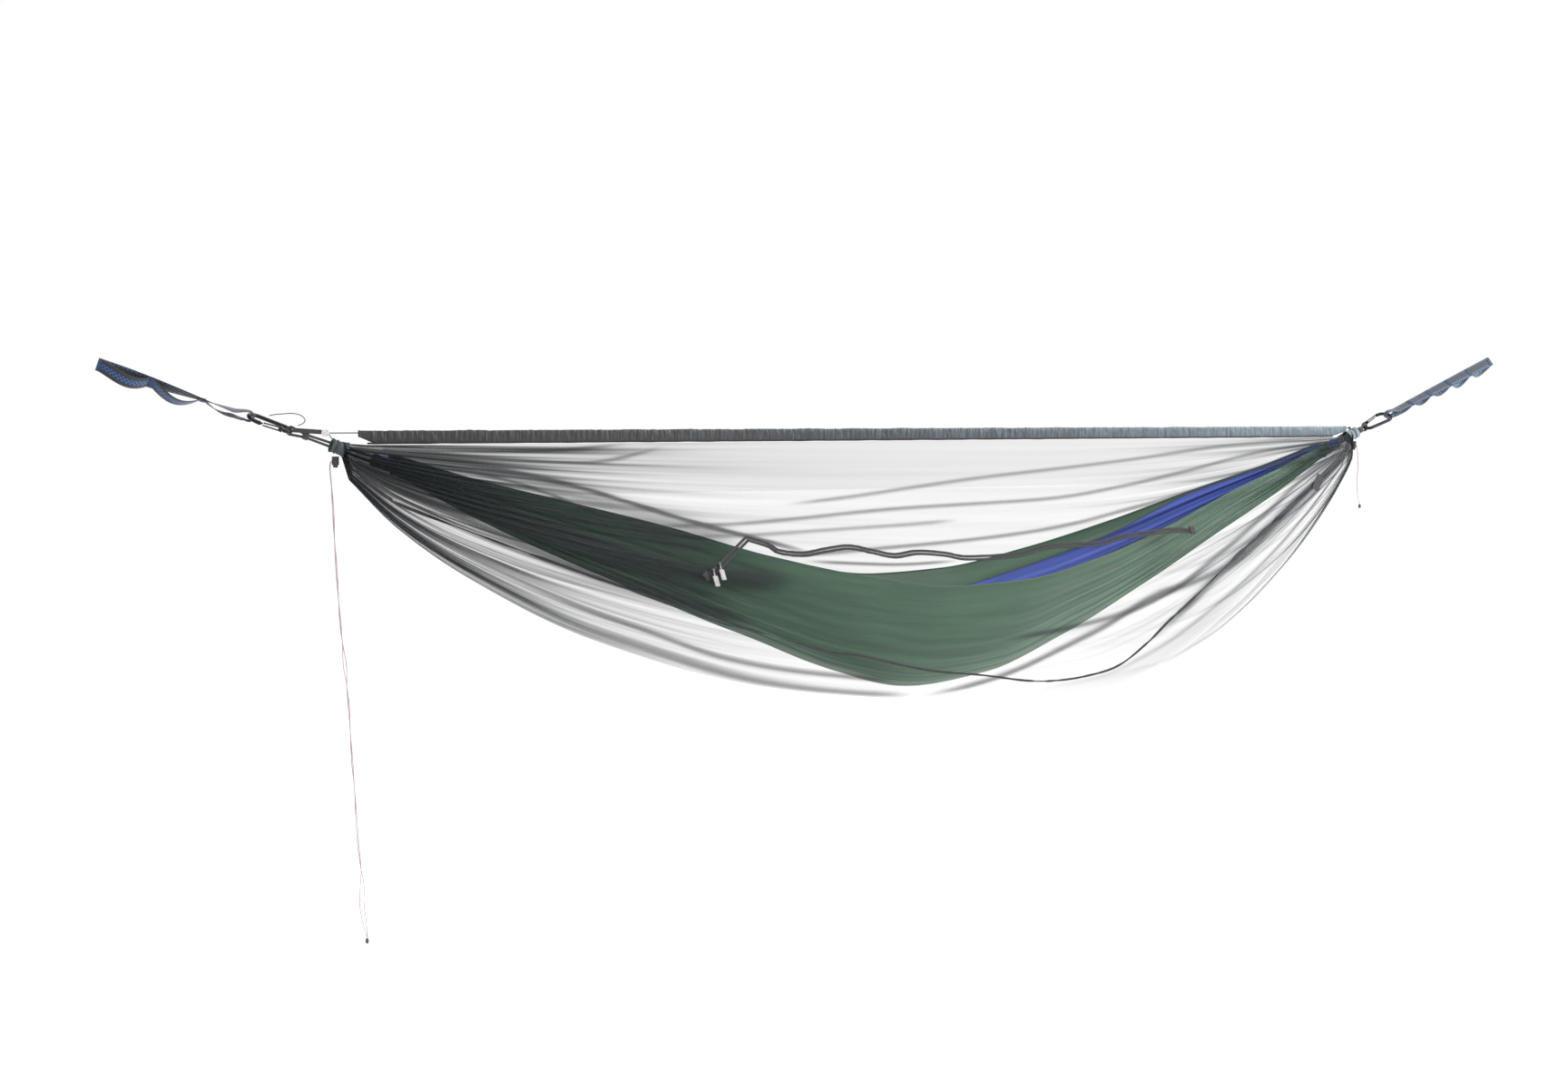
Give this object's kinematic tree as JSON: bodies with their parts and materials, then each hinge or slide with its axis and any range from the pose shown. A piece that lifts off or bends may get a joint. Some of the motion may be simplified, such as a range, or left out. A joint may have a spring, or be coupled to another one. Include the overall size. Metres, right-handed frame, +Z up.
{
  "type": "camping hammock",
  "caption": "Gathered-end nylon camping hammock inside a full bug net, with daisy-chain tree straps, wiregate carabiners, cord locks and a zipped door.",
  "frame": {"origin": "middle of the end edge of the left tree strap, mount left_anchor", "axes": "+X along the hung hammock from the left strap to the right strap, +Z up, the zipped door on the -Y side"},
  "size_m": [3.5627, 0.4774, 1.2276],
  "materials": {
    "strap_webbing": "woven polyester webbing, black with blue edge stitching",
    "loop_webbing": "woven polyester webbing, black with blue stitching",
    "tack_thread": "dense blue bar-tack stitching",
    "black_alloy": "black anodised, satin",
    "steel": "bright wire",
    "rope": "braided black cord",
    "green_nylon": "light sheen ripstop nylon",
    "blue_nylon": "light sheen ripstop nylon",
    "mesh": "fine knitted bug netting, see-through",
    "sleeve_nylon": "thin ruffled ripstop",
    "binding": "matte grosgrain binding",
    "ridge_cord": "braided cord",
    "silver_alloy": "polished edges",
    "lock_plastic": "moulded, fine texture",
    "zip_tape": "woven zip tape",
    "zip_teeth": "nylon coil",
    "slider_metal": "black painted",
    "pull_tab": "pale grey moulded",
    "tail_cord": "thin lilac-grey braided cord"
  },
  "bodies": {
    "straps": {"left_bar_tacks": "tack_thread", "left_strap_loops": "loop_webbing", "left_tree_strap": "strap_webbing", "right_bar_tacks": "tack_thread", "right_strap_loops": "loop_webbing", "right_tree_strap": "strap_webbing"},
    "left_gate": {"left_gate": "black_alloy"},
    "right_gate": {"right_gate": "black_alloy"},
    "zip_slider_rear": {"zip_slider_rear": "slider_metal"},
    "zip_slider_lead": {"zip_slider_lead": "slider_metal"},
    "zip_pull_rear": {"zip_pull_rear": "pull_tab"},
    "zip_pull_lead": {"zip_pull_lead": "pull_tab"},
    "left_plunger": {"left_lock_plunger": "lock_plastic"},
    "right_plunger": {"right_lock_plunger": "lock_plastic"},
    "hammock": {"hammock_centre_panel": "blue_nylon", "hammock_far_panel": "green_nylon", "hammock_near_panel": "green_nylon", "keeper_loop": "rope", "left_carabiner": "black_alloy", "left_drawcord": "ridge_cord", "left_end_hem": "green_nylon", "left_end_rope": "rope", "left_gate_pin": "steel", "left_lock_barrel": "lock_plastic", "left_lock_spring": "steel", "left_net_collar": "sleeve_nylon", "left_rope_knot": "rope", "left_tail_a": "tail_cord", "left_tail_b": "tail_cord", "left_tail_knot": "tail_cord", "net_far_wall": "mesh", "net_label": "binding", "net_lower_seam": "binding", "net_near_wall": "mesh", "net_ridge_sleeve": "sleeve_nylon", "ridge_knot": "ridge_cord", "ridge_line": "ridge_cord", "ridge_tab": "binding", "ridge_tensioner": "silver_alloy", "ridge_tie": "ridge_cord", "right_carabiner": "black_alloy", "right_drawcord": "ridge_cord", "right_end_hem": "green_nylon", "right_end_rope": "rope", "right_gate_pin": "steel", "right_lock_barrel": "lock_plastic", "right_lock_spring": "steel", "right_net_collar": "sleeve_nylon", "right_rope_knot": "rope", "right_tail": "tail_cord", "right_tail_knot": "tail_cord", "sleeve_binding": "binding", "zip_coil": "zip_teeth", "zip_left_stop": "binding", "zip_lower_tape": "zip_tape", "zip_right_stop": "binding", "zip_upper_tape": "zip_tape"}
  },
  "joints": [
    {"name": "swing", "type": "hinge", "parent": "straps", "child": "hammock", "pos_m": [1.774, 0, -0.098], "axis": [1, 0, 0], "range_deg": [-22, 22]},
    {"name": "left_gate_hinge", "type": "hinge", "parent": "hammock", "child": "left_gate", "pos_m": [0.3386, -0.0124, -0.1243], "axis": [-0.3189, 0.342, -0.8839], "range_deg": [0, 25], "stiffness_Nm_per_rad": 0.25, "springref_deg": -20.05},
    {"name": "right_gate_hinge", "type": "hinge", "parent": "hammock", "child": "right_gate", "pos_m": [3.1373, 0.0124, -0.1188], "axis": [0.3611, 0.342, -0.8675], "range_deg": [0, 25], "stiffness_Nm_per_rad": 0.25, "springref_deg": -20.05},
    {"name": "zip_slide_rear", "type": "slide", "parent": "hammock", "child": "zip_slider_rear", "axis": [0.7838, 0.3472, 0.5149], "range_m": [0, 0.01]},
    {"name": "zip_slide_lead", "type": "slide", "parent": "hammock", "child": "zip_slider_lead", "axis": [0.7838, 0.3472, 0.5149], "range_m": [0, 0.085]},
    {"name": "zip_pull_hinge_rear", "type": "hinge", "parent": "zip_slider_rear", "child": "zip_pull_rear", "pos_m": [1.1788, -0.2065, -0.41767], "axis": [-1, 0.0021, -0.0015], "range_deg": [0, 90]},
    {"name": "zip_pull_hinge_lead", "type": "hinge", "parent": "zip_slider_lead", "child": "zip_pull_lead", "pos_m": [1.19683, -0.19851, -0.40582], "axis": [-1, 0.0021, -0.0015], "range_deg": [0, 90]},
    {"name": "left_lock_press", "type": "slide", "parent": "hammock", "child": "left_plunger", "axis": [0, 0, 1], "range_m": [0, 0.004], "stiffness_N_per_m": 400, "springref_m": -0.002, "deforming": ["left_lock_spring"]},
    {"name": "right_lock_press", "type": "slide", "parent": "hammock", "child": "right_plunger", "axis": [0, 0, 1], "range_m": [0, 0.004], "stiffness_N_per_m": 400, "springref_m": -0.002, "deforming": ["right_lock_spring"]}
  ]
}
